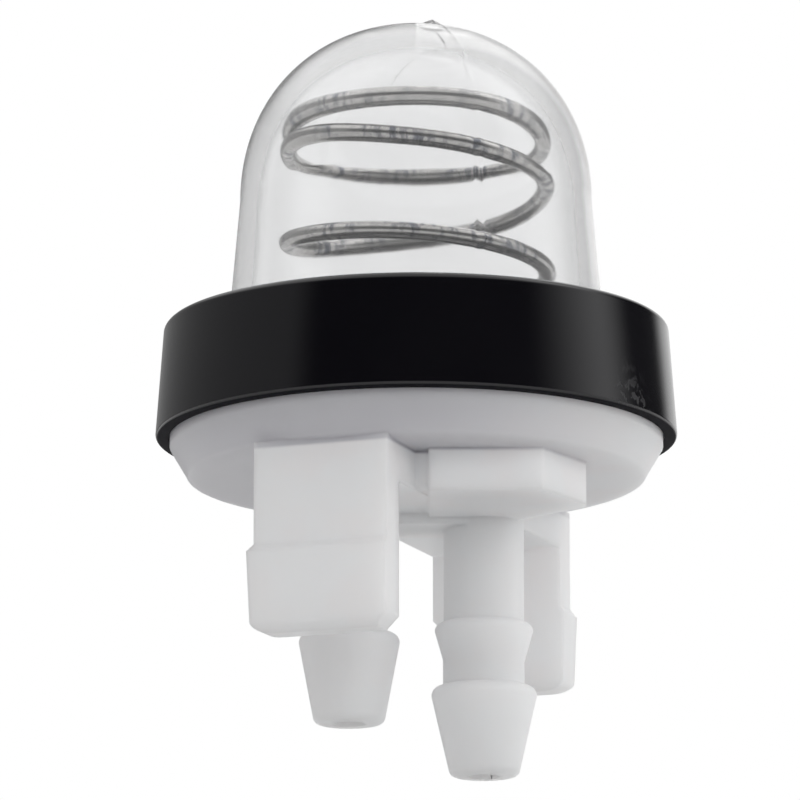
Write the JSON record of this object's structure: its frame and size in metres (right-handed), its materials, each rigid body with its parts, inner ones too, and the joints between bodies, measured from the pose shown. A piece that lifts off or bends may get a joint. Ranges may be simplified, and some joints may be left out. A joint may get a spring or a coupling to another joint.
{
  "type": "primer bulb",
  "caption": "Snap-in fuel primer: clear squeeze bulb with return spring, round collar, white base with snap legs and barbed hose nipples.",
  "frame": {"origin": "on the bulb's axis, in the plane of the collar's lower face, where the panel meets it", "axes": "+Z along the bulb's axis towards its crown; +X from the inlet nipple to the longer outlet nipple"},
  "size_m": [0.0268, 0.0268, 0.0392],
  "materials": {
    "clear_bulb": "clear, slightly milky, glossy",
    "spring_steel": "drawn wire, dull bright",
    "black_collar": "gloss black",
    "white_base": "satin milky white, slightly translucent",
    "valve_rubber": "matt rubber"
  },
  "bodies": {
    "root": {"bulb": "clear_bulb", "return_spring": "spring_steel", "collar": "black_collar", "base": "white_base", "check_valve": "valve_rubber"}
  },
  "joints": []
}
